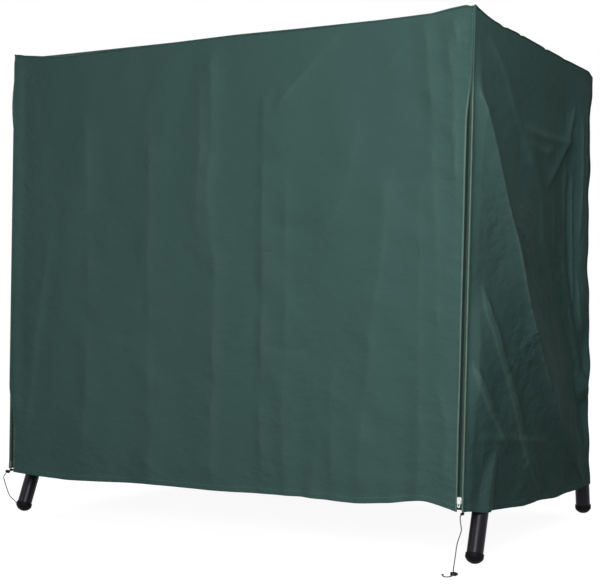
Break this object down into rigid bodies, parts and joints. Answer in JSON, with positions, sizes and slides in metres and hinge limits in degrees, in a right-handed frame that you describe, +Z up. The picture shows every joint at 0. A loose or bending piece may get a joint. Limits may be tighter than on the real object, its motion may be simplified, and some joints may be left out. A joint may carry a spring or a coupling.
{
  "type": "canopy swing bench",
  "caption": "Canopy swing bench on a tubular stand, closed inside a green zipped weather cover with corner zips, drawcords and domed foot caps.",
  "frame": {"origin": "on the ground under the middle of the bench", "axes": "+X to the right of someone facing the front, +Y towards the back, +Z up"},
  "size_m": [2.1166, 1.445, 1.845],
  "materials": {
    "powder_coat": "satin black powder coat",
    "zinc_steel": "bright zinc plate",
    "black_plastic": "moulded, slightly rough",
    "bush_nylon": "turned nylon",
    "cover_cloth": "coated woven polyester",
    "zip_tape": "woven tape with coil teeth",
    "zip_metal": "bright cast metal",
    "zip_metal_dark": "dark nickel",
    "cord": "braided polyester",
    "cushion_cloth": "woven, matt",
    "canopy_cloth": "woven, matt"
  },
  "bodies": {
    "stand": {"front_leg_left": "powder_coat", "front_leg_right": "powder_coat", "rear_leg_left": "powder_coat", "rear_leg_right": "powder_coat", "foot_cap_front_left": "black_plastic", "foot_cap_front_right": "black_plastic", "foot_cap_rear_left": "black_plastic", "foot_cap_rear_right": "black_plastic", "apex_bracket_left": "powder_coat", "apex_bracket_right": "powder_coat", "top_bar": "powder_coat", "side_stretchers": "powder_coat", "rear_stretcher": "powder_coat", "stand_bolts": "zinc_steel", "stand_nuts": "zinc_steel", "swing_pins": "zinc_steel", "canopy_clamp_bolts": "zinc_steel"},
    "bench": {"pivot_bushes": "bush_nylon", "hanger_eyes": "powder_coat", "hanger_front_left": "powder_coat", "hanger_front_right": "powder_coat", "hanger_rear_left": "powder_coat", "hanger_rear_right": "powder_coat", "seat_front_rail": "powder_coat", "seat_rear_rail": "powder_coat", "seat_side_rails": "powder_coat", "seat_slats": "powder_coat", "back_posts": "powder_coat", "back_top_rail": "powder_coat", "back_slats": "powder_coat", "armrests": "powder_coat", "arm_pads": "black_plastic", "seat_bolts": "zinc_steel", "seat_cushion": "cushion_cloth", "back_cushion": "cushion_cloth"},
    "canopy": {"canopy_front_tube": "powder_coat", "canopy_rear_tube": "powder_coat", "canopy_side_tubes": "powder_coat", "canopy_arms": "powder_coat", "canopy_fabric": "canopy_cloth"},
    "knob_left": {"clamp_knob_left": "black_plastic"},
    "knob_right": {"clamp_knob_right": "black_plastic"},
    "cover": {"cover_roof": "cover_cloth", "cover_side_left": "cover_cloth", "cover_side_right": "cover_cloth", "cover_back": "cover_cloth", "side_zip_tapes": "zip_tape", "hem_mouths": "cover_cloth", "drawcord_left": "cord", "drawcord_right": "cord", "cord_lock_left": "black_plastic", "cord_lock_right": "black_plastic"},
    "button_left": {"lock_button_left": "black_plastic"},
    "button_right": {"lock_button_right": "black_plastic"},
    "front_flap": {"cover_front": "cover_cloth", "front_zip_tapes": "zip_tape"},
    "slider_left": {"zip_slider_left": "zip_metal_dark"},
    "slider_right": {"zip_slider_right": "zip_metal"},
    "pull_left": {"zip_pull_left": "zip_metal_dark"},
    "pull_right": {"zip_pull_right": "zip_metal"}
  },
  "joints": [
    {"name": "bench_swing", "type": "hinge", "parent": "stand", "child": "bench", "pos_m": [0, 0.068, 1.53], "axis": [1, 0, 0], "range_deg": [-12, 12]},
    {"name": "canopy_tilt", "type": "hinge", "parent": "stand", "child": "canopy", "pos_m": [0, 0.068, 1.66], "axis": [1, 0, 0], "range_deg": [0, 5]},
    {"name": "knob_turn_left", "type": "hinge", "parent": "stand", "child": "knob_left", "pos_m": [-0.93, 0.068, 1.66], "axis": [1, 0, 0], "continuous": true},
    {"name": "knob_turn_right", "type": "hinge", "parent": "stand", "child": "knob_right", "pos_m": [0.93, 0.068, 1.66], "axis": [1, 0, 0], "continuous": true},
    {"name": "cover_lift", "type": "slide", "parent": "stand", "child": "cover", "axis": [0, 0, 1], "range_m": [0, 1.75]},
    {"name": "front_flap_open", "type": "hinge", "parent": "cover", "child": "front_flap", "pos_m": [0, -0.58, 1.8438], "axis": [-1, 0, 0], "range_deg": [0, 100]},
    {"name": "zip_right", "type": "slide", "parent": "cover", "child": "slider_right", "axis": [0.0096, 0.0358, 0.9993], "range_m": [0, 1.58]},
    {"name": "zip_left", "type": "slide", "parent": "cover", "child": "slider_left", "axis": [-0.0096, 0.0358, 0.9993], "range_m": [0, 1.58]},
    {"name": "pull_tab_right", "type": "hinge", "parent": "slider_right", "child": "pull_right", "pos_m": [0.99105, -0.64232, 0.22915], "axis": [-1, 0.0003, 0.0095], "range_deg": [0, 150]},
    {"name": "pull_tab_left", "type": "hinge", "parent": "slider_left", "child": "pull_left", "pos_m": [-0.99088, -0.64296, 0.21115], "axis": [-1, -0.0003, -0.0095], "range_deg": [0, 150]},
    {"name": "lock_button_press_right", "type": "slide", "parent": "cover", "child": "button_right", "axis": [-0.921, -0.3896, 0], "range_m": [0, 0.003], "stiffness_N_per_m": 300},
    {"name": "lock_button_press_left", "type": "slide", "parent": "cover", "child": "button_left", "axis": [0.9206, -0.3904, 0], "range_m": [0, 0.003], "stiffness_N_per_m": 300}
  ]
}
